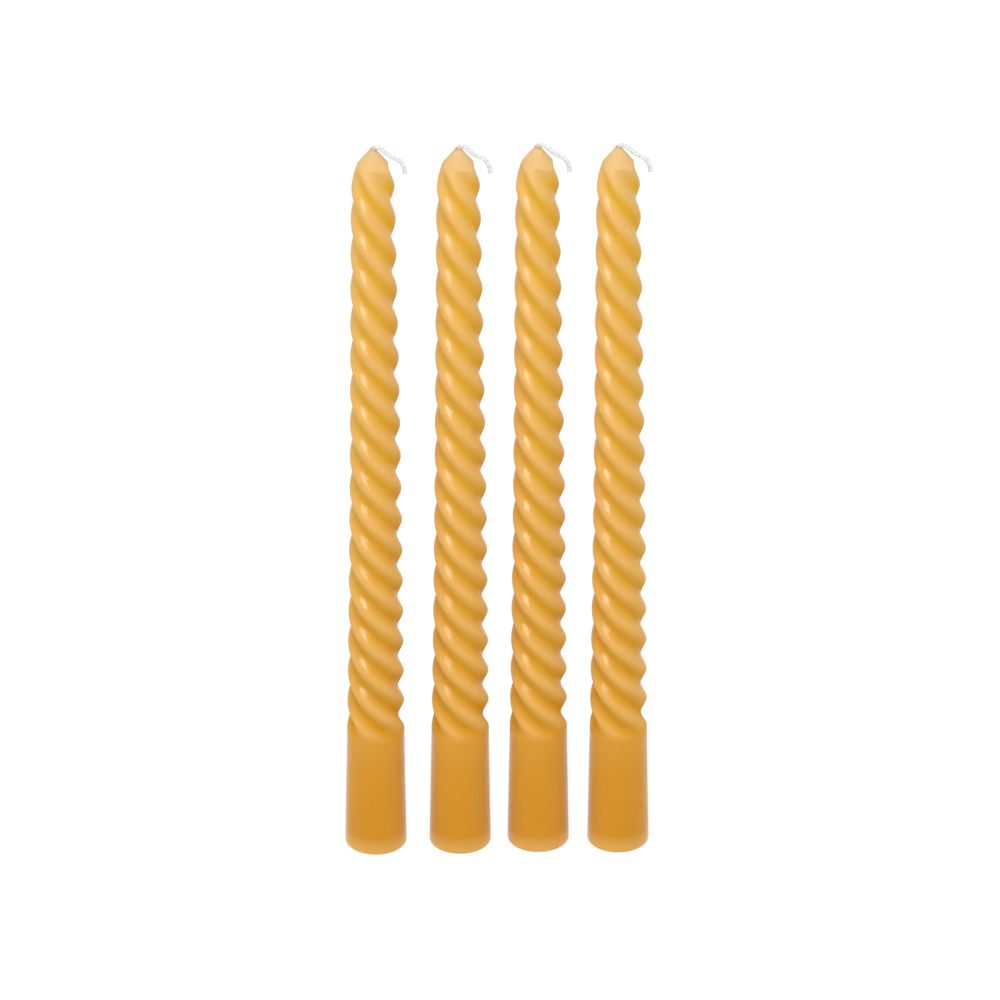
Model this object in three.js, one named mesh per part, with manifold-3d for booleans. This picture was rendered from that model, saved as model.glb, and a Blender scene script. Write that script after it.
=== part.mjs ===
// A set of four spiral taper candles standing in a loose row, in millimetres, +Z up, seen from -Y.
// Each candle is two pieces: a cast wax body with four twisted flutes above a plain round plug,
// and a cotton wick that runs through its whole length and droops from the tip.
import * as THREE from 'three';
import * as BufferGeometryUtils from 'three/addons/utils/BufferGeometryUtils.js';
import Module from 'manifold-3d';

const wasm = await Module();
wasm.setup();

// Wax body: its height, and the plain plug that goes into a candle cup
const candleHeight = 260;
const footDiameter = 20.6;
const footRimRadius = 1.8;
const plugHeight = 41.5;
const plugTopDiameter = 19.2;

// Twisted flutes: the ridges between them taper towards the tip, swell a little halfway up, and
// their lead opens out. One ridge faces -Y at the height given last.
const fluteCount = 4;
const fluteDepthLow = 2;
const fluteDepthHigh = 1.5;
const fluteRunOut = 4.6;
const ridgeDiameterHigh = 14.4;
const ridgeSwell = 0.11;
const twistLeadLow = 43.7;
const twistLeadHigh = 54.5;
const ridgeAheadHeight = 43.3;

// Tip: the ridges draw in over the tip's taper, and the cone cuts across them
const tipTaperHeight = 7.9;
const tipTaperDrawIn = 1.15;
const tipConeHeight = 6.1;
const tipLandWidth = 0.25;

// Wick: its straight core ends a little below the tip, where the free end takes over
const wickDiameter = 1.7;
const wickClearance = 0.3;
const wickFootRecess = 0.2;
const wickTailRoot = 2;

// Free end of the wick, as places from the middle of the wax tip: x to the right, then z up
const wickTail = [
  [0.33, 0.93],
  [1.65, 1.3],
  [3.3, 0.2],
  [4.95, -1.3],
  [6.6, -2.4],
  [8.2, -3.2],
  [9.5, -4.5],
  [10.3, -6.3],
  [10.6, -8.4],
];

// The row from left to right: the clear gap after each foot, and how far each foot stands back
const footGaps = [7.6, 5.5, 6.1];
const setBacks = [0, 0.5, 1.6, 1.2];

const waxColour = 0xe6b055;
const waxRoughness = 0.45;
const cottonColour = 0xf3f1ec;
const cottonRoughness = 0.9;

// Fineness of the facets
const pointsPerFlute = 6;
const ringsPerTurn = 12;
const rimSteps = 3;
const runOutSteps = 3;
const coneSides = 48;
const wickSides = 8;
const wickTailStep = 0.9;

// How far a cutting shape runs past what it cuts
const overrun = 2;

const { clamp, lerp, smoothstep } = THREE.MathUtils;
const turn = 2 * Math.PI;
const quarterTurn = turn / 4;
const runOutTop = plugHeight + fluteRunOut;
const shoulderHeight = candleHeight - tipConeHeight;
const taperStart = shoulderHeight - tipTaperHeight;
const wickRadius = wickDiameter / 2;
const boreRadius = wickRadius + wickClearance;
const tipLandRadius = boreRadius + tipLandWidth;
const tipShoulderRadius = ridgeDiameterHigh / 2 - tipTaperDrawIn;

// Share of the way from the top of the plug to the shoulder of the tip
function fluteShare(z) {
  return clamp((z - plugHeight) / (shoulderHeight - plugHeight), 0, 1);
}

// Angle by which the flutes have turned at a height, as their lead opens out steadily on the way up
function twistAngle(z) {
  const climb = Math.max(z, plugHeight) - ridgeAheadHeight;
  const rateLow = turn / twistLeadLow;
  const rateHigh = turn / twistLeadHigh;
  return rateLow * climb + (rateHigh - rateLow) * climb ** 2 / (2 * (candleHeight - ridgeAheadHeight));
}

// Radius over the ridges: the draft of the plug, the long swelling taper, and the draw-in under the cone
function ridgeRadius(z) {
  if (z < plugHeight) {
    return lerp(footDiameter, plugTopDiameter, z / plugHeight) / 2;
  }
  const share = fluteShare(z);
  const taper = lerp(plugTopDiameter, ridgeDiameterHigh, share) / 2;
  const swell = ridgeSwell * Math.sin(share * turn / 2);
  return taper + swell - tipTaperDrawIn * clamp((z - taperStart) / tipTaperHeight, 0, 1);
}

// Depth of the flutes, which fade out on the plug
function fluteDepth(z) {
  return lerp(fluteDepthLow, fluteDepthHigh, fluteShare(z)) * smoothstep(z, plugHeight, runOutTop);
}

// How much the quarter round of the foot's rim takes off the radius
function rimInset(z) {
  const below = Math.max(footRimRadius - z, 0);
  return footRimRadius - Math.sqrt(footRimRadius ** 2 - below ** 2);
}

// Radius of the wax at a height, at an angle round from the crest of a ridge
function waxRadius(fromCrest, z) {
  const flute = fluteDepth(z) * (1 - Math.cos(fluteCount * fromCrest)) / 2;
  return ridgeRadius(z) - rimInset(z) - flute;
}

// Evenly spaced heights after the first, up to and with the second
function heightsBetween(from, to, steps) {
  return Array.from({ length: steps }, (_, i) => lerp(from, to, (i + 1) / steps));
}

// Heights of the loft's sections: closer at the rim and where the flutes run out
function sectionHeights() {
  const ringStep = (candleHeight - plugHeight) * turn / (ringsPerTurn * twistAngle(candleHeight));
  const stretch = (from, to) => heightsBetween(from, to, Math.ceil((to - from) / ringStep));
  const rim = heightsBetween(0, quarterTurn, rimSteps).map((angle) => footRimRadius * (1 - Math.cos(angle)));
  return [
    0,
    ...rim,
    plugHeight,
    ...heightsBetween(plugHeight, runOutTop, runOutSteps),
    ...stretch(runOutTop, taperStart),
    ...stretch(taperStart, shoulderHeight),
    ...stretch(shoulderHeight, candleHeight + overrun),
  ];
}

// Corners of one section, from the crest of a ridge round
function sectionPoints(z) {
  const around = fluteCount * pointsPerFlute;
  return Array.from({ length: around }, (_, i) => {
    const fromCrest = turn * i / around;
    const angle = fromCrest - quarterTurn - twistAngle(z);
    return new THREE.Vector3(Math.cos(angle), Math.sin(angle), 0)
      .multiplyScalar(waxRadius(fromCrest, z))
      .setZ(z);
  });
}

// Closed loft through rings of points that run the same way round, each quad split along its short side
function loft(rings) {
  const around = rings[0].length;
  const middles = [rings[0], rings.at(-1)].map((ring) => new THREE.Vector3(0, 0, ring[0].z));
  const points = [...rings.flat(), ...middles];
  const [lowMiddle, highMiddle] = [points.length - 2, points.length - 1];
  const faces = [];
  for (let i = 0; i < around; i += 1) {
    const next = (i + 1) % around;
    faces.push(lowMiddle, next, i);
    for (let low = 0; low < around * (rings.length - 1); low += around) {
      const [a, b, c, d] = [low + i, low + next, low + around + next, low + around + i];
      const splitFromA = points[a].distanceTo(points[c]) < points[b].distanceTo(points[d]);
      faces.push(...(splitFromA ? [a, b, c, a, c, d] : [a, b, d, b, c, d]));
    }
    const lastRing = around * (rings.length - 1);
    faces.push(highMiddle, lastRing + i, lastRing + next);
  }
  return new THREE.BufferGeometry().setFromPoints(points).setIndex(faces);
}

// Revolved outline that trims the loft: a wide barrel, then the cone of the tip and its flat land
function tipEnvelope() {
  const barrelRadius = footDiameter / 2 + overrun;
  const coneRun = (barrelRadius - tipLandRadius) / (tipShoulderRadius - tipLandRadius);
  const outline = [
    new THREE.Vector2(0, -overrun),
    new THREE.Vector2(barrelRadius, -overrun),
    new THREE.Vector2(barrelRadius, candleHeight - coneRun * tipConeHeight),
    new THREE.Vector2(tipLandRadius, candleHeight),
    new THREE.Vector2(0, candleHeight),
  ];
  return new THREE.LatheGeometry(outline, coneSides).rotateX(quarterTurn);
}

// Closed round tube along a curve
function tube(radius, path, steps) {
  const corners = Array.from({ length: wickSides }, (_, i) => {
    const angle = turn * i / wickSides;
    return new THREE.Vector2(radius * Math.cos(angle), radius * Math.sin(angle));
  });
  return new THREE.ExtrudeGeometry(new THREE.Shape(corners), { extrudePath: path, steps });
}

// Straight tube on the candle's own axis
function axisTube(radius, from, to) {
  return tube(radius, new THREE.LineCurve3(new THREE.Vector3(0, 0, from), new THREE.Vector3(0, 0, to)), 1);
}

// Solid of a closed geometry, with the collapsed faces at a revolve's axis left out
function solidOf(geometry) {
  geometry.deleteAttribute('normal');
  geometry.deleteAttribute('uv');
  const merged = BufferGeometryUtils.mergeVertices(geometry);
  const corners = [...merged.index.array];
  const triVerts = [];
  for (let i = 0; i < corners.length; i += 3) {
    const [a, b, c] = corners.slice(i, i + 3);
    if (a !== b && b !== c && c !== a) {
      triVerts.push(a, b, c);
    }
  }
  const vertProperties = merged.attributes.position.array;
  return new wasm.Manifold(new wasm.Mesh({ numProp: 3, vertProperties, triVerts: Uint32Array.from(triVerts) }));
}

function geometryOf(solid) {
  const mesh = solid.getMesh();
  const geometry = new THREE.BufferGeometry();
  geometry.setAttribute('position', new THREE.BufferAttribute(mesh.vertProperties, 3));
  geometry.setIndex(new THREE.BufferAttribute(mesh.triVerts, 1));
  geometry.computeVertexNormals();
  return geometry;
}

function waxBodyGeometry() {
  const twisted = solidOf(loft(sectionHeights().map(sectionPoints)));
  const trimmed = twisted.intersect(solidOf(tipEnvelope()));
  return geometryOf(trimmed.subtract(solidOf(axisTube(boreRadius, -overrun, candleHeight + overrun))));
}

function wickGeometry() {
  const coreTop = candleHeight - wickTailRoot;
  const tail = new THREE.CatmullRomCurve3([
    new THREE.Vector3(0, 0, coreTop - wickDiameter),
    new THREE.Vector3(0, 0, coreTop),
    new THREE.Vector3(0, 0, candleHeight),
    ...wickTail.map(([x, z]) => new THREE.Vector3(x, 0, candleHeight + z)),
  ]);
  const tailSteps = Math.ceil(tail.getLength() / wickTailStep);
  const core = solidOf(axisTube(wickRadius, wickFootRecess, coreTop));
  return geometryOf(core.add(solidOf(tube(wickRadius, tail, tailSteps))));
}

// Middle of each foot, with the middle of the whole row's box over the origin
function footPlaces() {
  const spots = [new THREE.Vector3(0, setBacks[0], 0)];
  footGaps.forEach((gap, i) => {
    spots.push(new THREE.Vector3(spots[i].x + footDiameter + gap, setBacks[i + 1], 0));
  });
  const footReach = ridgeRadius(footRimRadius);
  const wickReach = Math.max(...wickTail.map(([x]) => x)) + wickRadius;
  const middle = new THREE.Vector3(
    (spots.at(-1).x + Math.max(footReach, wickReach) - footReach) / 2,
    (Math.min(...setBacks) + Math.max(...setBacks)) / 2,
    0,
  );
  return spots.map((spot) => spot.sub(middle));
}

function candle(number, place, waxBody, wick) {
  const group = new THREE.Group();
  const wax = new THREE.MeshStandardMaterial({ color: waxColour, roughness: waxRoughness, metalness: 0 });
  const cotton = new THREE.MeshStandardMaterial({ color: cottonColour, roughness: cottonRoughness, metalness: 0 });
  const body = new THREE.Mesh(waxBody, wax);
  body.name = `wax_body_${number}`;
  const core = new THREE.Mesh(wick, cotton);
  core.name = `wick_${number}`;
  group.position.copy(place);
  group.add(body, core);
  return group;
}

const waxBody = waxBodyGeometry();
const wick = wickGeometry();
const set = new THREE.Group();
footPlaces().forEach((place, i) => set.add(candle(i + 1, place, waxBody, wick)));

export default set;
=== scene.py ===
import math
import random

import bmesh
import bpy
from mathutils import Matrix, Vector


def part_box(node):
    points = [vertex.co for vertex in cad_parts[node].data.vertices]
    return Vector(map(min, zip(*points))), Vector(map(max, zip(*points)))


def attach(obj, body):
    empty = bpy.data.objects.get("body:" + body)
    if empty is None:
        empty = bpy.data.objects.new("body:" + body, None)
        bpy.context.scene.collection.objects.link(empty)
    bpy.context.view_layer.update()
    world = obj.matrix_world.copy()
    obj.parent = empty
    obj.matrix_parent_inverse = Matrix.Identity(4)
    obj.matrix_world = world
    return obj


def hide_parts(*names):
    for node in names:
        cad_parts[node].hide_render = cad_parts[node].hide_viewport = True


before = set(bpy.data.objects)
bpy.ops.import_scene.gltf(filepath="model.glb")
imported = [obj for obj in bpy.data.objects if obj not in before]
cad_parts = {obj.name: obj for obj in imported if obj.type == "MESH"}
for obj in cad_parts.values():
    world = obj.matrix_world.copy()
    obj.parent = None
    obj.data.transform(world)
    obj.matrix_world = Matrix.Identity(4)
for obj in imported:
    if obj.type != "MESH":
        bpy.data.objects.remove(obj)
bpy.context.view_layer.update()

bl_info = {
    "name": "Spiral Taper Candles",
    "version": (1, 0, 0),
    "blender": (4, 5, 0),
    "location": "3D Viewport > Sidebar > Candles",
    "description": "A row of twisted taper candles with braided cotton wicks, on a plain studio floor",
    "category": "Add Mesh",
}

MM = 0.001
CANDLES = (1, 2, 3, 4)
FLUTES = 4
STRANDS = 8

# How finely the wax is rung: points round it, and the rings of each stretch
POINTS_PER_FLUTE = 24
POINTS_AROUND = FLUTES * POINTS_PER_FLUTE
POINT_TURN = math.tau / POINTS_AROUND
RIM_RINGS = 6
PLUG_RINGS = 16
RUN_OUT_RINGS = 14
FLUTED_RINGS = 200
DRAW_IN_RINGS = 8
SHOULDER_RINGS = 12
CONE_RINGS = 8

# Shoulder of the tip: how far its fine rings reach down and up, and where round it the flutes lose depth
SHOULDER_BELOW = 1 * MM
SHOULDER_ABOVE = 3 * MM
SHALLOWING_BELOW = 3 * MM
SHALLOWING_ABOVE = 1.5 * MM

# Hole in the foot: where its wall starts, its bevelled edge, and the lip of the dimple round it
HOLE_WALL_FOOT = 0.6 * MM
HOLE_BEVEL = 0.1 * MM
DIMPLE_DEPTH = 0.2 * MM
DIMPLE_LIP = 0.3 * MM
DIMPLE_LIP_DEPTH = 0.04 * MM

# Collar of wax that climbs the wick, as radii and heights above the tip, and the hole inside it
COLLAR = (
    (1.16 * MM, 0.2 * MM),
    (1.02 * MM, 0.5 * MM),
    (0.95 * MM, 0.8 * MM),
)
COLLAR_HOLE_DEPTH = 1.2 * MM

# Depth of colour on the plug, by heights above the floor: pale at the rim with painted light from the
# floor, and a little paler at the top
RIM_PAINTED_LIGHT_FROM = 1.5 * MM
RIM_PAINTED_LIGHT_TO = 7 * MM
RIM_PAINTED_LIGHT_DEPTH = 0.1
PLUG_FADE_FROM = 30 * MM
PLUG_FADE = 0.12

# Painted shade in the hollows, against painted sheen on the ridges: it sets in above the plug, leans less
# low down, and fades below the tip
HOLLOWS_SET_IN = 5 * MM
LOW_LEAN_SHARE = -0.3
PAINTED_SHADE_FADE_FROM = 13 * MM
PAINTED_SHADE_FADE_TO = 5 * MM
CONE_COLOUR_FROM = 9 * MM

# Gloss of the wax: duller above the plug, under the ridges and below the tip, and coated on the plug
NEAR_PLUG_FROM = 6 * MM
NEAR_PLUG_TO = 22 * MM
MARKED_DULLING = 0.55
TIP_DULL_FROM = 15 * MM
TIP_DULL_TO = 6 * MM
TIP_DULLING = 0.25
CLOUD_DULLING = 0.05
PLUG_COAT = 0.3

# Clouding of the wax and the cotton, and how much fine grain adds to its height
CLOUD_TINT = (0.93, 0.91, 0.86)
WHITE = (1.0, 1.0, 1.0)
GRAIN_SHARE = 0.35
DRY_ROUGHNESS = 0.92
SOAKED_ROUGHNESS = 0.55

# Free end of the wick, as places from the middle of the wax tip: x to the right, then z up
WICK_DROOP = (
    (0.33 * MM, 0.93 * MM),
    (1.65 * MM, 1.3 * MM),
    (3.3 * MM, 0.2 * MM),
    (4.95 * MM, -1.3 * MM),
    (6.6 * MM, -2.4 * MM),
    (8.2 * MM, -3.2 * MM),
    (9.5 * MM, -4.5 * MM),
    (10.3 * MM, -6.3 * MM),
    (10.6 * MM, -8.4 * MM),
)

# Wick: how far below the tip it starts to droop, how wide and long its plain core is, and its finest steps
WICK_ROOT = 2 * MM
CORE_SHARE = 0.48
CORE_INTO_FOOT_BRAID = 0.6
CORE_INTO_TIP_BRAID = 0.9
STRAIGHT_STEPS = 200
STEPS_PER_KNOT = 12
STRAND_STEP = 0.14 * MM
SOAKED_THROUGH = 0.8 * MM

# Loose fibres: how many, how many of these at the cut end, where they sit and how thick they are
FIBRE_SEED = 11
FIBRES = 70
END_FIBRES = 44
END_FIBRE_SEAT = 0.3 * MM
FIBRE_STRETCH = 18 * MM
SIDE_FIBRE_SEAT = 0.85
SIDE_FIBRE_SHARE = 0.6
FIBRE_RADII = (0.045 * MM, 0.04 * MM, 0.035 * MM, 0.02 * MM)

# Lamps, as their places and their widths and heights, and the point that they face
FRONT_LAMP = ((0.0, -1.2, 0.8), (1.0, 0.6))
TOP_LAMP = ((0.0, -0.6, 1.4), (1.2, 0.7))
SIDE_LAMP = ((-1.3, -0.6, 0.5), (0.8, 0.8))
GLEAM_LAMP = ((-0.2, -0.73, 0.385), (0.42, 0.065))
LAMP_AIM = Vector((0.0, 0.0, 0.13))

# Floor: its reach, its inset rim, how far it lies under the candles' feet, and how white it looks
FLOOR_POINTS = 96
FLOOR_RADIUS = 9.0
FLOOR_RIM = 0.5
FLOOR_DROP = 0.05 * MM
FLOOR_WHITENESS = 0.8
FLOOR_GLOW = 1.12

# Width of the camera's sensor, in millimetres
SENSOR_WIDTH = 36.0


def paint(red, green, blue):
    """Linear colour of a shade written in 0 to 255."""
    shares = [channel / 255 for channel in (red, green, blue)]
    return tuple(s / 12.92 if s <= 0.04045 else ((s + 0.055) / 1.055) ** 2.4 for s in shares)


def length_setting(name, description, default):
    return bpy.props.FloatProperty(
        name=name, description=description, default=default, min=0.0, precision=5, unit="LENGTH"
    )


def colour_setting(name, description, default):
    return bpy.props.FloatVectorProperty(
        name=name, description=description, default=default, min=0.0, max=1.0, size=3, subtype="COLOR"
    )


def share_setting(name, description, default):
    return bpy.props.FloatProperty(
        name=name, description=description, default=default, min=0.0, max=1.0, subtype="FACTOR"
    )


def number_setting(name, description, default):
    return bpy.props.FloatProperty(name=name, description=description, default=default, min=0.0)


def power_setting(name, description, default):
    return bpy.props.FloatProperty(name=name, description=description, default=default, subtype="POWER")


def angle_setting(name, description, degrees):
    return bpy.props.FloatProperty(
        name=name, description=description, default=math.radians(degrees), subtype="ANGLE"
    )


class WaxBodySettings(bpy.types.PropertyGroup):
    """Sizes and colours of the twisted wax bodies."""

    height: length_setting("Height", "Height of the wax", 260 * MM)
    foot_width: length_setting("Foot Width", "Width across the foot", 20.6 * MM)
    rim_radius: length_setting("Rim Radius", "Rounding of the foot's rim", 1.8 * MM)
    plug_height: length_setting("Plug Height", "Height of the plain plug under the flutes", 41.5 * MM)
    plug_top_width: length_setting("Plug Top Width", "Width across the top of the plug", 19.2 * MM)
    depth_low: length_setting("Flute Depth Low", "Depth of the flutes above the plug", 2.0 * MM)
    depth_high: length_setting("Flute Depth High", "Depth of the flutes under the tip", 1.5 * MM)
    run_out: length_setting("Run-out", "Height over which the flutes fade into the plug", 6.0 * MM)
    ridge_width_high: length_setting("Ridge Width High", "Width over the ridges under the tip", 14.4 * MM)
    swell: length_setting("Swell", "How far the ridges swell halfway up", 0.11 * MM)
    bow: length_setting("Bow", "How far the candle bows to the right halfway up", 0.4 * MM)
    lead_low: length_setting("Lead Low", "Rise of one full turn at the plug", 43.7 * MM)
    lead_high: length_setting("Lead High", "Rise of one full turn at the tip", 54.5 * MM)
    ridge_ahead: length_setting("Ridge Ahead", "Height at which a ridge faces the viewer", 43.3 * MM)
    draw_in_height: length_setting("Draw-in Height", "Height over which the ridges draw in", 7.9 * MM)
    draw_in: length_setting("Draw-in", "How far the ridges draw in under the tip", 1.15 * MM)
    shallowing: share_setting("Shallowing", "Share of their depth that the flutes lose at the cone", 0.4)
    cone_height: length_setting("Cone Height", "Height of the cone at the tip", 6.1 * MM)
    cone_top_radius: length_setting("Cone Top Radius", "Radius at the top of the cone", 1.4 * MM)
    cone_softness: length_setting("Cone Softness", "How far the cone's lower edge is rounded", 0.4 * MM)
    hole_radius: length_setting("Hole Radius", "Radius of the hole that the wick fills", 0.93 * MM)
    dimple_width: length_setting("Dimple Width", "Width of the dimple round the wick in the foot", 3.2 * MM)
    # The ridge colours carry painted sheen and the hollow colours painted shade; the lower ridge colour
    # also paints floor light on the rim of the foot, and the lower hollow colour is also the plug's own
    lit_ridge_high: colour_setting("Upper Ridges", "Wax on the upper ridges", paint(229, 185, 108))
    shaded_hollow_high: colour_setting("Upper Hollows", "Wax in the upper hollows", paint(232, 178, 48))
    lit_ridge_low: colour_setting("Lower Ridges", "Wax on the lower ridges and the plug", paint(230, 178, 88))
    plug_and_shaded_hollow_low: colour_setting("Lower Hollows", "Wax in the lower hollows", paint(211, 145, 0))
    cone_colour: colour_setting("Cone Colour", "Dull wax of the cut cone", paint(225, 190, 138))
    # The lean puts the painted shade on the underside of each ridge, where light from above falls off
    shade_lean: angle_setting("Lean", "How far the deep colour leans onto the underside of the ridges", 11.5)
    roughness: share_setting("Roughness", "Middle roughness of the wax", 0.25)
    glow: share_setting("Glow", "Share of the light that passes through the wax", 0.35)


class WickSettings(bpy.types.PropertyGroup):
    """Sizes and colours of the braided cotton wicks."""

    width: length_setting("Width", "Width of the braid", 1.7 * MM)
    foot_recess: length_setting("Foot Recess", "How far the cut end sits above the floor", 0.2 * MM)
    pitch: length_setting("Braid Pitch", "Length in which a strand goes once round", 4.4 * MM)
    strand_radius: length_setting("Strand Radius", "Radius of one strand", 0.27 * MM)
    weave: length_setting("Weave", "How far a strand rises and dips as it crosses", 0.12 * MM)
    braid_root: length_setting("Braid Root", "How far the full braid reaches down into the tip", 7 * MM)
    braid_foot: length_setting("Braid Foot", "How far the full braid reaches up from the foot", 3 * MM)
    fray: length_setting("Fray", "Longest fibres at the cut end", 0.7 * MM)
    soak_reach: length_setting("Soak Reach", "How far up the free end the wax has soaked", 2.6 * MM)
    cotton: colour_setting("Cotton", "Bleached cotton", paint(243, 242, 240))
    cotton_shade: colour_setting("Cotton Shade", "Cotton between the fibres", paint(220, 218, 214))
    soaked: colour_setting("Soaked Cotton", "Cotton that has taken up wax", paint(219, 190, 146))


class StageSettings(bpy.types.PropertyGroup):
    """Camera, lamps and floor."""

    elevation: angle_setting("Elevation", "How steeply the camera looks down", 28.0)
    roll: angle_setting("Roll", "Turn of the picture to the left", 0.114)
    distance: length_setting("Distance", "From the camera to the candles", 8.0)
    aim_x: length_setting("Aim X", "Point in the middle of the picture, along the row", 0.65 * MM)
    aim_z: length_setting("Aim Z", "Point in the middle of the picture, above the floor", 129.06 * MM)
    lens: bpy.props.FloatProperty(
        name="Lens", description="Focal length on a 36 mm sensor", default=866.7, subtype="DISTANCE_CAMERA"
    )
    floor_colour: colour_setting("Floor", "Colour of the floor", paint(240, 240, 240))
    front_power: power_setting("Front Lamp", "Power of the wide lamp in front", 1.5)
    side_power: power_setting("Side Lamp", "Power of the wide lamp on the left", 1.6)
    gleam_power: power_setting("Gleam Lamp", "Power of the low lamp that only gloss shows", 4.5)
    top_power: power_setting("Top Lamp", "Power of the wide lamp above the candles", 10.0)
    surroundings: number_setting("Surroundings", "Strength of the light from all round", 0.65)


def clamp(value, low, high):
    return max(low, min(high, value))


def lerp(first, second, share):
    return first + (second - first) * share


def smoothstep(value, low, high):
    share = clamp((value - low) / (high - low), 0.0, 1.0)
    return share * share * (3.0 - 2.0 * share)


def spread(first, last, steps):
    """Evenly spaced values after the first, up to and with the last."""
    return [lerp(first, last, (i + 1) / steps) for i in range(steps)]


def deselect_everything():
    if bpy.context.mode != "OBJECT":
        bpy.ops.object.mode_set(mode="OBJECT")
    bpy.ops.object.select_all(action="DESELECT")


def select_only(*pieces):
    deselect_everything()
    for piece in pieces:
        piece.select_set(True)
    bpy.context.view_layer.objects.active = pieces[-1]


def candle_place(number):
    """Middle of a candle's foot on the floor, from the box of its packed wax."""
    low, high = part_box(f"wax_body_{number}")
    return Vector(((low.x + high.x) / 2, (low.y + high.y) / 2, 0.0))


def flute_share(wax, z):
    """Share of the way from the top of the plug to the shoulder of the tip."""
    shoulder = wax.height - wax.cone_height
    return clamp((z - wax.plug_height) / (shoulder - wax.plug_height), 0.0, 1.0)


def twist_angle(wax, z):
    """Angle by which the flutes have turned at a height, as their lead opens out steadily."""
    climb = max(z, wax.plug_height) - wax.ridge_ahead
    rate_low = math.tau / wax.lead_low
    rate_high = math.tau / wax.lead_high
    return rate_low * climb + (rate_high - rate_low) * climb ** 2 / (2 * (wax.height - wax.ridge_ahead))


def ridge_radius(wax, z):
    """Radius over the ridges: the plug's draft, the long swelling taper and the draw-in under the cone."""
    if z < wax.plug_height:
        return lerp(wax.foot_width, wax.plug_top_width, z / wax.plug_height) / 2
    share = flute_share(wax, z)
    taper = lerp(wax.plug_top_width, wax.ridge_width_high, share) / 2
    taper += wax.swell * math.sin(math.pi * share)
    draw_in_start = wax.height - wax.cone_height - wax.draw_in_height
    return taper - wax.draw_in * clamp((z - draw_in_start) / wax.draw_in_height, 0.0, 1.0)


def cone_radius(wax, z):
    """Radius of the tip's cone, which goes on widening below its shoulder."""
    shoulder_radius = wax.ridge_width_high / 2 - wax.draw_in
    slope = (shoulder_radius - wax.cone_top_radius) / wax.cone_height
    return wax.cone_top_radius + (wax.height - z) * slope


def soft_minimum(first, second, softness):
    """The smaller of two radii, with the corner between them rounded off."""
    near = max(softness - abs(first - second), 0.0) / softness
    return min(first, second) - near * near * softness / 4


def flute_depth(wax, z):
    """Depth of the flutes at a height: they run out on the plug and get shallower at the cone."""
    shoulder = wax.height - wax.cone_height
    fade = smoothstep(z, wax.plug_height, wax.plug_height + wax.run_out)
    fade *= 1.0 - wax.shallowing * smoothstep(z, shoulder - SHALLOWING_BELOW, shoulder + SHALLOWING_ABOVE)
    return lerp(wax.depth_low, wax.depth_high, flute_share(wax, z)) * fade


def wax_radius(wax, point, z):
    """Radius of the wax at a height, at a point counted round from the crest of a ridge."""
    from_crest = point * POINT_TURN
    hollow = flute_depth(wax, z) * (1 - math.cos(FLUTES * from_crest)) / 2
    return soft_minimum(ridge_radius(wax, z) - hollow, cone_radius(wax, z), wax.cone_softness)


def grow_ring(rise, growth=1.0, turn=0.0):
    """Extrudes the selected ring up, turns it clockwise about the candle's axis and resizes it."""
    bpy.ops.mesh.extrude_region_move(TRANSFORM_OT_translate={"value": (0.0, 0.0, rise)})
    if turn:
        bpy.ops.transform.rotate(value=turn, orient_axis="Z", center_override=(0.0, 0.0, 0.0))
    bpy.ops.transform.resize(value=(growth, growth, 1.0), center_override=(0.0, 0.0, 0.0))


def select_ring(form, wanted):
    """Selects the points of the newest ring whose count from the crest of a ridge is wanted."""
    form_mesh = bmesh.from_edit_mesh(form.data)
    form_mesh.verts.ensure_lookup_table()
    for vertex in form_mesh.verts[-POINTS_AROUND:]:
        vertex.select = points_from_crest(form, vertex) in wanted
    form_mesh.select_flush_mode()
    bmesh.update_edit_mesh(form.data, loop_triangles=False, destructive=False)


def points_from_crest(form, vertex):
    """How many points a vertex of the newest ring lies from the nearest crest."""
    around = math.atan2(vertex.co.y, vertex.co.x) + math.tau / 4 + form["turned"]
    point = round(around / POINT_TURN) % POINTS_PER_FLUTE
    return min(point, POINTS_PER_FLUTE - point)


def press_flutes(form, radii, wax, z):
    """Resizes the newest ring, a group of like points at a time, until its flutes are deep enough."""
    for point, radius in enumerate(radii):
        wanted = wax_radius(wax, point, z)
        select_ring(form, (point,))
        growth = wanted / radius
        bpy.ops.transform.resize(value=(growth, growth, 1.0), center_override=(0.0, 0.0, 0.0))
        radii[point] = wanted
    select_ring(form, range(POINTS_PER_FLUTE // 2 + 1))


def ring_heights(wax):
    """Heights of the fluted rings, and whether each needs its flutes pressed anew."""
    run_out_top = wax.plug_height + wax.run_out
    shoulder = wax.height - wax.cone_height
    draw_in_start = shoulder - wax.draw_in_height
    shoulder_low = shoulder - SHOULDER_BELOW
    shoulder_high = shoulder + SHOULDER_ABOVE
    return (
        [(z, True) for z in spread(wax.plug_height, run_out_top, RUN_OUT_RINGS)]
        + [(z, False) for z in spread(run_out_top, draw_in_start, FLUTED_RINGS)]
        + [(z, True) for z in spread(draw_in_start, shoulder_low, DRAW_IN_RINGS)]
        + [(z, True) for z in spread(shoulder_low, shoulder_high, SHOULDER_RINGS)]
        + [(z, True) for z in spread(shoulder_high, wax.height, CONE_RINGS)]
    )


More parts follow.
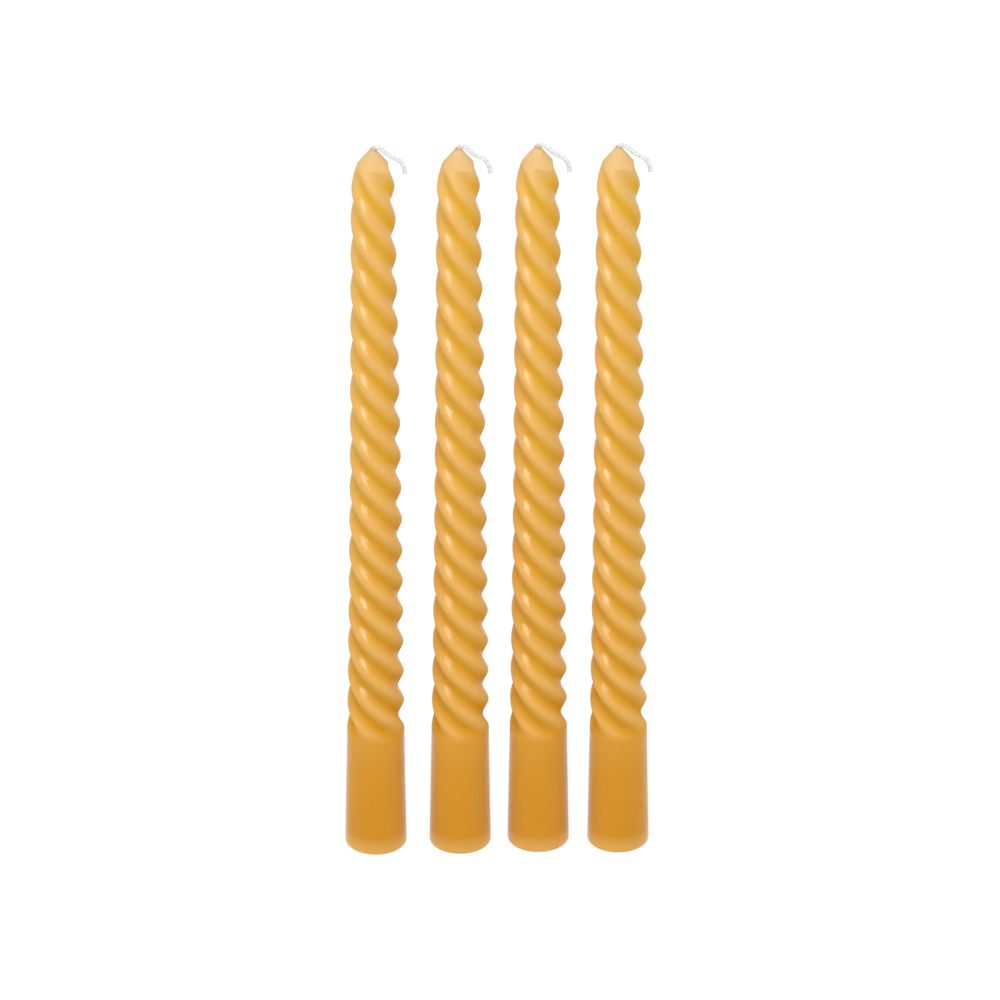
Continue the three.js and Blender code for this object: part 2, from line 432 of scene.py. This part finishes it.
def cast_wax_form(wax):
    """One wax body over the origin, grown ring by ring from the hole in its foot to the hole in its tip."""
    deselect_everything()
    turned = twist_angle(wax, wax.plug_height)
    bpy.ops.mesh.primitive_circle_add(
        vertices=POINTS_AROUND, radius=wax.hole_radius, location=(0, 0, HOLE_WALL_FOOT),
        rotation=(0, 0, -turned),
    )
    form = bpy.context.active_object
    form.name = "wax_form"
    form["turned"] = turned
    bpy.ops.object.transform_apply(location=True, rotation=True)
    bpy.ops.object.mode_set(mode="EDIT")
    bpy.ops.mesh.select_all(action="SELECT")
    model_foot(wax)
    model_plug(wax)
    model_flutes(form, wax)
    model_tip_hole(form, wax)
    bpy.ops.mesh.select_all(action="SELECT")
    bpy.ops.mesh.normals_make_consistent(inside=False)
    bpy.ops.object.mode_set(mode="OBJECT")
    bpy.ops.object.shade_smooth_by_angle(angle=math.radians(40))
    mark_painted_shading_and_dullness(form, wax)
    bow_form(form, wax)
    return form


def model_foot(wax):
    """From the hole down into the dimple, out over the flat foot and up round its rim."""
    flat_radius = wax.foot_width / 2 - wax.rim_radius
    profile = [
        (wax.hole_radius + HOLE_BEVEL, DIMPLE_DEPTH),
        (wax.dimple_width / 2 - DIMPLE_LIP, DIMPLE_LIP_DEPTH),
        (wax.dimple_width / 2, 0.0),
        (lerp(wax.dimple_width / 2, flat_radius, 0.5), 0.0),
    ]
    for step in range(RIM_RINGS + 1):
        angle = math.tau / 4 * step / RIM_RINGS
        height = wax.rim_radius * (1 - math.cos(angle))
        inset = wax.rim_radius * (1 - math.sin(angle))
        profile.append((ridge_radius(wax, height) - inset, height))
    radius, height = wax.hole_radius, HOLE_WALL_FOOT
    for next_radius, next_height in profile:
        grow_ring(next_height - height, next_radius / radius)
        radius, height = next_radius, next_height


def model_plug(wax):
    """Plain rings with a draft, from the rim to the flutes."""
    height = wax.rim_radius
    for next_height in spread(wax.rim_radius, wax.plug_height, PLUG_RINGS):
        grow_ring(next_height - height, ridge_radius(wax, next_height) / ridge_radius(wax, height))
        height = next_height


def model_flutes(form, wax):
    """Twisted rings from the plug to the top of the cone."""
    height = wax.plug_height
    radii = [ridge_radius(wax, height)] * (POINTS_PER_FLUTE // 2 + 1)
    for next_height, pressed in ring_heights(wax):
        turn = twist_angle(wax, next_height) - twist_angle(wax, height)
        growth = wax_radius(wax, 0, next_height) / radii[0]
        grow_ring(next_height - height, growth, turn)
        form["turned"] += turn
        radii = [radius * growth for radius in radii]
        if pressed:
            press_flutes(form, radii, wax, next_height)
        height = next_height


def model_tip_hole(form, wax):
    """A thin collar of wax that climbs the wick, then the hole back down to the foot."""
    radius, height = wax.cone_top_radius, wax.height
    for next_radius, rise in COLLAR:
        grow_ring(wax.height + rise - height, next_radius / radius)
        radius, height = next_radius, wax.height + rise
    grow_ring(-COLLAR_HOLE_DEPTH, wax.hole_radius / radius)
    form_mesh = bmesh.from_edit_mesh(form.data)
    for edge in form_mesh.edges:
        edge.select = edge.is_boundary
    form_mesh.select_flush_mode()
    bpy.ops.mesh.bridge_edge_loops()


def mark_painted_shading_and_dullness(form, wax):
    """Stores on every point its depth of colour, which is painted shade and sheen on the flutes and painted
    floor light at the rim, and how dull it is.
    """
    for name in ("hollow", "dull"):
        form.data.attributes.new(name, "FLOAT", "POINT")
    painted_shading_marks = form.data.attributes["hollow"].data
    dulls = form.data.attributes["dull"].data
    for vertex, hollow, dull in zip(form.data.vertices, painted_shading_marks, dulls):
        z = vertex.co.z
        from_crest = math.atan2(vertex.co.y, vertex.co.x) + math.tau / 4 + twist_angle(wax, z)
        fluted = smoothstep(z, wax.plug_height, wax.plug_height + HOLLOWS_SET_IN)
        # Painted shade and sheen on the flutes, painted floor light at the rim of the plug
        hollow.value = lerp(plug_depth_with_painted_rim_light(wax, z), flute_painted_shade_and_sheen(wax, z, from_crest), fluted)
        near_plug = 1.0 - smoothstep(z, wax.plug_height + NEAR_PLUG_FROM, wax.plug_height + NEAR_PLUG_TO)
        dull.value = fluted * max(-math.sin(FLUTES * from_crest), near_plug)


def plug_depth_with_painted_rim_light(wax, z):
    """Pale at the rim of the foot with painted light from the floor, deep above it and a little paler again
    under the flutes.
    """
    depth = lerp(RIM_PAINTED_LIGHT_DEPTH, 1.0, smoothstep(z, RIM_PAINTED_LIGHT_FROM, RIM_PAINTED_LIGHT_TO))
    return depth - PLUG_FADE * smoothstep(z, PLUG_FADE_FROM, wax.plug_height)


def flute_painted_shade_and_sheen(wax, z, from_crest):
    """Painted shade, deep in the hollows and leaning onto the underside of the ridges where light from
    above falls off, against painted sheen on the ridges, and fading away under the cone.
    """
    shade_lean = wax.shade_lean * lerp(LOW_LEAN_SHARE, 1.0, flute_share(wax, z))
    depth = (1 - math.cos(FLUTES * (from_crest - shade_lean))) / 2
    return depth * (1.0 - smoothstep(z, wax.height - PAINTED_SHADE_FADE_FROM, wax.height - PAINTED_SHADE_FADE_TO))


def bow_form(form, wax):
    """Bows the standing form to the right, most at its middle and not at its ends."""
    half_ring_gap = 0.1 * MM
    middle = wax.height / 2
    select_only(form)
    bpy.ops.object.mode_set(mode="EDIT")
    form_mesh = bmesh.from_edit_mesh(form.data)
    nearest = min(abs(vertex.co.z - middle) for vertex in form_mesh.verts)
    for vertex in form_mesh.verts:
        vertex.select = abs(vertex.co.z - middle) < nearest + half_ring_gap
    form_mesh.select_flush_mode()
    bmesh.update_edit_mesh(form.data, loop_triangles=False, destructive=False)
    bpy.ops.transform.translate(
        value=(wax.bow, 0.0, 0.0), use_proportional_edit=True, proportional_edit_falloff="SMOOTH",
        proportional_size=middle, use_proportional_connected=False,
    )
    bpy.ops.object.mode_set(mode="OBJECT")


def copy_to_candle(form, name, number):
    """A copy with its own mesh, moved to its candle with its place in the mesh."""
    select_only(form)
    bpy.ops.object.duplicate(linked=False)
    piece = bpy.context.active_object
    piece.name = name
    bpy.ops.transform.translate(value=candle_place(number))
    bpy.ops.object.transform_apply(location=True, rotation=True, scale=True)
    return piece


def remove_form(form):
    select_only(form)
    bpy.ops.object.delete()


def route_points(wick, height):
    """Points up the candle's axis and along the drooping end."""
    root = height - WICK_ROOT
    knots = [Vector((0.0, 0.0, z)) for z in (root - wick.width, root, height)]
    knots += [Vector((x, 0.0, height + z)) for x, z in WICK_DROOP]
    knots.append(knots[-1] * 2 - knots[-2])
    line = [Vector((0.0, 0.0, wick.foot_recess))]
    line += [Vector((0.0, 0.0, z)) for z in spread(wick.foot_recess, root, STRAIGHT_STEPS)]
    for before, first, second, after in zip(knots, knots[1:], knots[2:], knots[3:]):
        for share in spread(0.0, 1.0, STEPS_PER_KNOT):
            line.append(between_knots(before, first, second, after, share))
    return line


def between_knots(before, first, second, after, share):
    """Point of a smooth curve through the knots."""
    square = share * share
    cube = square * share
    return (
        first * 2
        + (second - before) * share
        + (before * 2 - first * 5 + second * 4 - after) * square
        + (first * 3 - before - second * 3 + after) * cube
    ) / 2


class Route:
    """The wick's middle line, read by the distance along it."""

    def __init__(self, line):
        self.line = line
        self.marks = [0.0]
        for first, second in zip(line, line[1:]):
            self.marks.append(self.marks[-1] + (second - first).length)
        self.length = self.marks[-1]

    def at(self, distance):
        """Point and direction at a distance; past the end the line goes straight on."""
        step = 0
        while step < len(self.marks) - 2 and self.marks[step + 1] < distance:
            step += 1
        first, second = self.line[step], self.line[step + 1]
        direction = (second - first).normalized()
        return first + direction * (distance - self.marks[step]), direction


def add_spline(curve, points, radii):
    """One smooth thread through points, thick as its radii say."""
    spline = curve.splines.new("POLY")
    spline.points.add(len(points) - 1)
    for spot, point, radius in zip(spline.points, points, radii):
        spot.co = (*point, 1.0)
        spot.radius = radius / MM
    spline.use_smooth = True


def strand_points(route, wick, strand, start, end):
    """Path of one strand: half of them turn each way, and each rises over one and dips under the next."""
    way = 1 if strand % 2 else -1
    each_way = STRANDS / 2
    middle = wick.width / 2 - wick.strand_radius - wick.weave
    count = round((end - start) / STRAND_STEP)
    points = []
    for step in range(count + 1):
        along = lerp(start, end, step / count)
        point, direction = route.at(along)
        side = direction.cross(Vector((0.0, 1.0, 0.0)))
        angle = way * math.tau * along / wick.pitch + (strand // 2) * math.tau / each_way
        lift = middle + way * wick.weave * math.cos(each_way * math.tau * along / wick.pitch)
        points.append(point + (side * math.cos(angle) + Vector((0.0, 1.0, 0.0)) * math.sin(angle)) * lift)
    return points


def add_braid(curve, route, wick, start, end):
    """All the strands of the braid over one stretch of the wick."""
    for strand in range(STRANDS):
        points = strand_points(route, wick, strand, start, end)
        add_spline(curve, points, [wick.strand_radius] * len(points))


def add_fibres(curve, route, wick, chance):
    """Frayed fibres at the cut end, and a few that stand off the free end."""
    for fibre in range(FIBRES):
        at_end = fibre < END_FIBRES
        if at_end:
            along = route.length - END_FIBRE_SEAT
        else:
            along = chance.uniform(route.length - FIBRE_STRETCH, route.length)
        point, direction = route.at(along)
        side = direction.cross(Vector((0.0, 1.0, 0.0)))
        angle = chance.uniform(0.0, math.tau)
        outward = side * math.cos(angle) + Vector((0.0, 1.0, 0.0)) * math.sin(angle)
        seat = wick.width / 2 * (chance.uniform(0.1, 0.9) if at_end else SIDE_FIBRE_SEAT)
        heading = direction * (1.0 if at_end else chance.uniform(0.3, 0.9))
        heading = heading + outward * chance.uniform(0.1, 0.5)
        length = chance.uniform(0.4, 1.0) * wick.fray * (1.0 if at_end else SIDE_FIBRE_SHARE)
        points = []
        for share in (0.0, 0.35, 0.7, 1.0):
            bend = Vector([chance.uniform(-0.1, 0.1) for _ in range(3)]) * length * share
            points.append(point + outward * seat + heading * length * share + bend)
        add_spline(curve, points, FIBRE_RADII)


def braid_wick_form(wick, height):
    """One wick over the origin: plaited where it shows, and a plain core inside the wax."""
    deselect_everything()
    curve = bpy.data.curves.new("wick_form", "CURVE")
    curve.dimensions = "3D"
    # The radius of a spline's point then counts in millimetres
    curve.bevel_depth = MM
    curve.bevel_resolution = 2
    curve.use_fill_caps = True
    form = bpy.data.objects.new("wick_form", curve)
    bpy.context.collection.objects.link(form)
    route = Route(route_points(wick, height))
    tip_mark = height - wick.foot_recess
    core_start = wick.braid_foot * CORE_INTO_FOOT_BRAID
    core_end = tip_mark - wick.braid_root * CORE_INTO_TIP_BRAID
    add_spline(curve, [route.at(core_start)[0], route.at(core_end)[0]], [wick.width * CORE_SHARE] * 2)
    add_braid(curve, route, wick, 0.0, wick.braid_foot)
    add_braid(curve, route, wick, tip_mark - wick.braid_root, route.length)
    add_fibres(curve, route, wick, random.Random(FIBRE_SEED))
    select_only(form)
    bpy.ops.object.convert(target="MESH")
    form = bpy.context.active_object
    bpy.ops.object.shade_smooth_by_angle(angle=math.radians(50))
    mark_soaked(form, wick, height)
    return form


def mark_soaked(form, wick, height):
    """Stores on every point how much wax the cotton has taken up there."""
    marks = form.data.attributes.new("soaked", "FLOAT", "POINT")
    tip = Vector((0.0, 0.0, height))
    for vertex, mark in zip(form.data.vertices, marks.data):
        inside = vertex.co.z < height - wick.soak_reach and abs(vertex.co.x) < wick.width
        far = (vertex.co - tip).length
        mark.value = 1.0 if inside else 1.0 - smoothstep(far, SOAKED_THROUGH, wick.soak_reach)


def add_node(tree, kind, **settings):
    """A new node of a kind, with its settings by name."""
    node = tree.nodes.new(kind)
    for name, value in settings.items():
        setattr(node, name, value)
    return node


def mixed_colour(tree, share, first, second, blend="MIX"):
    """Mix of two colours, each a plain colour or a socket, by a share or a socket."""
    node = add_node(tree, "ShaderNodeMix", data_type="RGBA", blend_type=blend)
    for socket, value in ((node.inputs[0], share), (node.inputs[6], first), (node.inputs[7], second)):
        if isinstance(value, bpy.types.NodeSocket):
            tree.links.new(value, socket)
        elif hasattr(value, "__len__"):
            socket.default_value = (*value, 1.0)
        else:
            socket.default_value = value
    return node.outputs[2]


def ranged(tree, value, from_low, from_high, to_low, to_high):
    """A value moved from one range to another."""
    node = add_node(tree, "ShaderNodeMapRange")
    tree.links.new(value, node.inputs["Value"])
    node.inputs["From Min"].default_value = from_low
    node.inputs["From Max"].default_value = from_high
    node.inputs["To Min"].default_value = to_low
    node.inputs["To Max"].default_value = to_high
    return node.outputs["Result"]


def computed(tree, operation, first, second):
    """Result of an operation on two values, each a plain number or a socket."""
    node = add_node(tree, "ShaderNodeMath", operation=operation)
    for socket, value in ((node.inputs[0], first), (node.inputs[1], second)):
        if isinstance(value, bpy.types.NodeSocket):
            tree.links.new(value, socket)
        else:
            socket.default_value = value
    return node.outputs[0]


def noise(tree, place, scale, detail, roughness=0.5):
    """Value of a noise at a place; its scale is a plain number or a socket."""
    node = add_node(tree, "ShaderNodeTexNoise")
    tree.links.new(place, node.inputs["Vector"])
    if isinstance(scale, bpy.types.NodeSocket):
        tree.links.new(scale, node.inputs["Scale"])
    else:
        node.inputs["Scale"].default_value = scale
    node.inputs["Detail"].default_value = detail
    node.inputs["Roughness"].default_value = roughness
    return node.outputs["Fac"]


def unevenness_group():
    """Slow clouding and a fine uneven height, shared by the wax and the cotton."""
    group = bpy.data.node_groups.new("uneven_surface", "ShaderNodeTree")
    group.interface.new_socket("Place", in_out="INPUT", socket_type="NodeSocketVector")
    group.interface.new_socket("Cloud Scale", in_out="INPUT", socket_type="NodeSocketFloat")
    group.interface.new_socket("Grain Scale", in_out="INPUT", socket_type="NodeSocketFloat")
    group.interface.new_socket("Clouds", in_out="OUTPUT", socket_type="NodeSocketFloat")
    group.interface.new_socket("Height", in_out="OUTPUT", socket_type="NodeSocketFloat")
    start = add_node(group, "NodeGroupInput")
    end = add_node(group, "NodeGroupOutput")
    clouds = noise(group, start.outputs["Place"], start.outputs["Cloud Scale"], 3.0)
    grain = noise(group, start.outputs["Place"], start.outputs["Grain Scale"], 4.0, 0.6)
    height = computed(group, "MULTIPLY_ADD", grain, GRAIN_SHARE)
    group.links.new(clouds, height.node.inputs[2])
    group.links.new(clouds, end.inputs["Clouds"])
    group.links.new(height, end.inputs["Height"])
    return group


def uneven_surface(tree, place, cloud_scale, grain_scale):
    """The shared unevenness, placed in a material at its own scales."""
    node = add_node(tree, "ShaderNodeGroup")
    node.node_tree = bpy.data.node_groups.get("uneven_surface") or unevenness_group()
    tree.links.new(place, node.inputs["Place"])
    node.inputs["Cloud Scale"].default_value = cloud_scale
    node.inputs["Grain Scale"].default_value = grain_scale
    return node.outputs["Clouds"], node.outputs["Height"]


def add_bump(tree, shader, height, distance, strength):
    """Fine relief from a height, on a shader's normal."""
    node = add_node(tree, "ShaderNodeBump")
    node.inputs["Distance"].default_value = distance
    node.inputs["Strength"].default_value = strength
    tree.links.new(height, node.inputs["Height"])
    tree.links.new(node.outputs["Normal"], shader.inputs["Normal"])


def new_material(name):
    """An empty material with its Principled shader."""
    material = bpy.data.materials.new(name)
    material.use_nodes = True
    tree = material.node_tree
    return material, tree, tree.nodes["Principled BSDF"]


def marked(tree, name):
    """A value that was stored on the points of a mesh."""
    return add_node(tree, "ShaderNodeAttribute", attribute_name=name).outputs["Fac"]


def wax_material(wax):
    """Satin honey wax: pale ridges with painted sheen, deep hollows with painted shade, slow clouding and a
    fine uneven skin.
    """
    material, tree, shader = new_material("honey_wax")
    place = add_node(tree, "ShaderNodeTexCoord").outputs["Object"]
    parted = add_node(tree, "ShaderNodeSeparateXYZ")
    tree.links.new(place, parted.inputs[0])
    height = parted.outputs["Z"]
    clouds, grain = uneven_surface(tree, place, cloud_scale=85.0, grain_scale=900.0)
    tree.links.new(wax_colour(tree, wax, height, clouds), shader.inputs["Base Color"])
    tree.links.new(wax_roughness(tree, wax, height, clouds), shader.inputs["Roughness"])
    polish = ranged(tree, height, wax.plug_height, wax.plug_height + wax.run_out, PLUG_COAT, 0.0)
    tree.links.new(polish, shader.inputs["Coat Weight"])
    shader.inputs["Coat Roughness"].default_value = 0.3
    shader.inputs["IOR"].default_value = 1.44
    shader.inputs["Specular IOR Level"].default_value = 0.2
    shader.inputs["Subsurface Weight"].default_value = wax.glow
    shader.inputs["Subsurface Radius"].default_value = (1.0, 0.45, 0.12)
    shader.inputs["Subsurface Scale"].default_value = 4 * MM
    add_bump(tree, shader, grain, distance=0.12 * MM, strength=0.25)
    return material


def wax_colour(tree, wax, height, clouds):
    """Painted sheen on the ridges and painted shade in the hollows change colour on the way up, paler
    towards the top partly for the thinner wax and partly as painted light from above; the cone is pale, and
    all of it is clouded.
    """
    # The stored depth of colour mixes the painted sheen and floor light of the ridge colours with the
    # painted shade of the hollow colours
    hollow = marked(tree, "hollow")
    climb = ranged(tree, height, 0.0, wax.height, 0.0, 1.0)
    low = mixed_colour(tree, hollow, wax.lit_ridge_low, wax.plug_and_shaded_hollow_low)
    high = mixed_colour(tree, hollow, wax.lit_ridge_high, wax.shaded_hollow_high)
    body = mixed_colour(tree, climb, low, high)
    tip = ranged(tree, height, wax.height - CONE_COLOUR_FROM, wax.height, 0.0, 1.0)
    colour = mixed_colour(tree, tip, body, wax.cone_colour)
    tint = mixed_colour(tree, clouds, CLOUD_TINT, WHITE)
    return mixed_colour(tree, 1.0, colour, tint, "MULTIPLY")


def wax_roughness(tree, wax, height, clouds):
    """Satin that varies with the clouding, duller at the tip and where the points are marked dull."""
    roughness = ranged(tree, clouds, 0.3, 0.7, wax.roughness - CLOUD_DULLING, wax.roughness + CLOUD_DULLING)
    tip = ranged(tree, height, wax.height - TIP_DULL_FROM, wax.height - TIP_DULL_TO, 0.0, TIP_DULLING)
    dulling = computed(tree, "MULTIPLY_ADD", marked(tree, "dull"), MARKED_DULLING)
    tree.links.new(tip, dulling.node.inputs[2])
    return computed(tree, "ADD", roughness, dulling)


def cotton_material(wick):
    """Bleached cotton strands with fine twisted fibres, and wax soaked up near the tip."""
    material, tree, shader = new_material("braided_cotton")
    place = add_node(tree, "ShaderNodeTexCoord").outputs["Object"]
    soaked = marked(tree, "soaked")
    clouds, fibres = uneven_surface(tree, place, cloud_scale=1400.0, grain_scale=9000.0)
    dry = mixed_colour(tree, ranged(tree, clouds, 0.35, 0.65, 0.0, 1.0), wick.cotton_shade, wick.cotton)
    tree.links.new(mixed_colour(tree, soaked, dry, wick.soaked), shader.inputs["Base Color"])
    roughness = ranged(tree, soaked, 0.0, 1.0, DRY_ROUGHNESS, SOAKED_ROUGHNESS)
    tree.links.new(roughness, shader.inputs["Roughness"])
    shader.inputs["Subsurface Weight"].default_value = 0.15
    shader.inputs["Subsurface Scale"].default_value = 1 * MM
    add_bump(tree, shader, fibres, distance=0.05 * MM, strength=0.8)
    return material


def white_when_seen(tree, plain, seen):
    """A strength that is plain for lighting and another where the camera, gloss or glass sees it."""
    rays = add_node(tree, "ShaderNodeLightPath")
    looks = computed(tree, "MAXIMUM", rays.outputs["Is Camera Ray"], rays.outputs["Is Glossy Ray"])
    looks = computed(tree, "MAXIMUM", looks, rays.outputs["Is Transmission Ray"])
    return ranged(tree, looks, 0.0, 1.0, plain, seen)


def light_surroundings(stage):
    """White light from all round, plain on what it lights and full white where it is seen."""
    world = bpy.data.worlds.new("surroundings")
    bpy.context.scene.world = world
    world.use_nodes = True
    tree = world.node_tree
    background = tree.nodes["Background"]
    background.inputs["Color"].default_value = (*WHITE, 1.0)
    tree.links.new(white_when_seen(tree, stage.surroundings, 1.0), background.inputs["Strength"])


def floor_material(stage):
    """White floor that keeps a faint shadow, and lets a camera below look through its underside."""
    material, tree, shader = new_material("white_floor")
    tree.nodes.remove(shader)
    output = tree.nodes["Material Output"]
    diffuse = add_node(tree, "ShaderNodeBsdfDiffuse")
    diffuse.inputs["Color"].default_value = (*stage.floor_colour, 1.0)
    glow = add_node(tree, "ShaderNodeEmission")
    seen = add_node(tree, "ShaderNodeMixShader")
    tree.links.new(white_when_seen(tree, 0.0, FLOOR_WHITENESS), seen.inputs[0])
    tree.links.new(diffuse.outputs[0], seen.inputs[1])
    tree.links.new(glow.outputs[0], seen.inputs[2])
    glow.inputs["Strength"].default_value = FLOOR_GLOW
    sides = add_node(tree, "ShaderNodeMixShader")
    through = add_node(tree, "ShaderNodeBsdfTransparent")
    back = add_node(tree, "ShaderNodeNewGeometry").outputs["Backfacing"]
    tree.links.new(back, sides.inputs[0])
    tree.links.new(seen.outputs[0], sides.inputs[1])
    tree.links.new(through.outputs[0], sides.inputs[2])
    tree.links.new(sides.outputs[0], output.inputs["Surface"])
    return material


def add_floor(stage):
    """A large round floor with an inset rim, a hair under the candles so that no two faces coincide."""
    deselect_everything()
    bpy.ops.mesh.primitive_circle_add(
        vertices=FLOOR_POINTS, radius=FLOOR_RADIUS, fill_type="NGON", location=(0.0, 0.0, -FLOOR_DROP)
    )
    floor = bpy.context.active_object
    floor.name = "floor"
    bpy.ops.object.mode_set(mode="EDIT")
    bpy.ops.mesh.select_all(action="SELECT")
    bpy.ops.mesh.inset(thickness=FLOOR_RIM)
    bpy.ops.object.mode_set(mode="OBJECT")
    floor.data.materials.append(floor_material(stage))


def add_lamp(name, place, size, power):
    """A soft oblong lamp that faces the middle of the candles."""
    bpy.ops.object.light_add(type="AREA", location=place)
    lamp = bpy.context.active_object
    lamp.name = name
    lamp.data.shape = "RECTANGLE"
    lamp.data.size, lamp.data.size_y = size
    lamp.data.energy = power
    lamp.rotation_euler = (LAMP_AIM - Vector(place)).to_track_quat("-Z", "Y").to_euler()
    return lamp


def add_camera(stage):
    """The photograph's far camera: it looks down along +Y, with a slight roll to the left."""
    aim = Vector((stage.aim_x, 0.0, stage.aim_z))
    back = Vector((0.0, -math.cos(stage.elevation), math.sin(stage.elevation)))
    place = Matrix.Translation(aim + back * stage.distance)
    tilt = Matrix.Rotation(math.tau / 4 - stage.elevation, 4, "X")
    roll = Matrix.Rotation(-stage.roll, 4, "Z")
    bpy.ops.object.camera_add()
    camera = bpy.context.active_object
    camera.name = "camera"
    camera.matrix_world = place @ tilt @ roll
    camera.data.lens = stage.lens
    camera.data.sensor_width = SENSOR_WIDTH
    camera.data.clip_start = 0.1
    camera.data.clip_end = 100.0
    bpy.context.scene.camera = camera


class TAPERS_OT_add_wax_bodies(bpy.types.Operator):
    """Model one twisted wax body and copy it to every candle of the row"""

    bl_idname = "tapers.add_wax_bodies"
    bl_label = "Add Wax Bodies"

    def execute(self, context):
        wax = context.scene.taper_wax
        form = cast_wax_form(wax)
        form.data.materials.append(wax_material(wax))
        for number in CANDLES:
            piece = copy_to_candle(form, f"twisted_wax_{number}", number)
            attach(piece, f"candle_{number}")
            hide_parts(f"wax_body_{number}")
            # No candle mirrors its neighbours, as each one in the photo gleams alike
            piece.visible_glossy = False
        remove_form(form)
        return {"FINISHED"}


class TAPERS_OT_add_wicks(bpy.types.Operator):
    """Plait one cotton wick and copy it to every candle of the row"""

    bl_idname = "tapers.add_wicks"
    bl_label = "Add Wicks"

    def execute(self, context):
        wick = context.scene.taper_wick
        form = braid_wick_form(wick, context.scene.taper_wax.height)
        form.data.materials.append(cotton_material(wick))
        for number in CANDLES:
            piece = copy_to_candle(form, f"braided_wick_{number}", number)
            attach(piece, f"candle_{number}")
            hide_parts(f"wick_{number}")
        remove_form(form)
        return {"FINISHED"}


class TAPERS_OT_add_stage(bpy.types.Operator):
    """Add the camera, the lamps, the surroundings and the white floor"""

    bl_idname = "tapers.add_stage"
    bl_label = "Add Stage"

    def execute(self, context):
        stage = context.scene.taper_stage
        context.scene.view_settings.view_transform = "Standard"
        add_camera(stage)
        light_surroundings(stage)
        add_floor(stage)
        add_lamp("front_lamp", *FRONT_LAMP, stage.front_power)
        add_lamp("top_lamp", *TOP_LAMP, stage.top_power)
        add_lamp("side_lamp", *SIDE_LAMP, stage.side_power)
        gleam = add_lamp("gleam_lamp", *GLEAM_LAMP, stage.gleam_power)
        # It is only mirrored in the wax and lights nothing
        gleam.visible_diffuse = False
        return {"FINISHED"}


class TAPERS_PT_panel(bpy.types.Panel):
    """Buttons and settings for the row of candles"""

    bl_idname = "TAPERS_PT_panel"
    bl_label = "Spiral Taper Candles"
    bl_space_type = "VIEW_3D"
    bl_region_type = "UI"
    bl_category = "Candles"

    def draw(self, context):
        layout = self.layout
        for operator, settings in (
            (TAPERS_OT_add_stage, context.scene.taper_stage),
            (TAPERS_OT_add_wax_bodies, context.scene.taper_wax),
            (TAPERS_OT_add_wicks, context.scene.taper_wick),
        ):
            box = layout.box()
            box.operator(operator.bl_idname)
            for name in settings.__annotations__:
                box.prop(settings, name)


CLASSES = (
    WaxBodySettings,
    WickSettings,
    StageSettings,
    TAPERS_OT_add_wax_bodies,
    TAPERS_OT_add_wicks,
    TAPERS_OT_add_stage,
    TAPERS_PT_panel,
)


def register():
    for cls in CLASSES:
        bpy.utils.register_class(cls)
    bpy.types.Scene.taper_wax = bpy.props.PointerProperty(type=WaxBodySettings)
    bpy.types.Scene.taper_wick = bpy.props.PointerProperty(type=WickSettings)
    bpy.types.Scene.taper_stage = bpy.props.PointerProperty(type=StageSettings)


def unregister():
    del bpy.types.Scene.taper_stage
    del bpy.types.Scene.taper_wick
    del bpy.types.Scene.taper_wax
    for cls in reversed(CLASSES):
        bpy.utils.unregister_class(cls)


def main():
    register()
    bpy.ops.tapers.add_stage()
    bpy.ops.tapers.add_wax_bodies()
    bpy.ops.tapers.add_wicks()


if __name__ == "__main__":
    main()
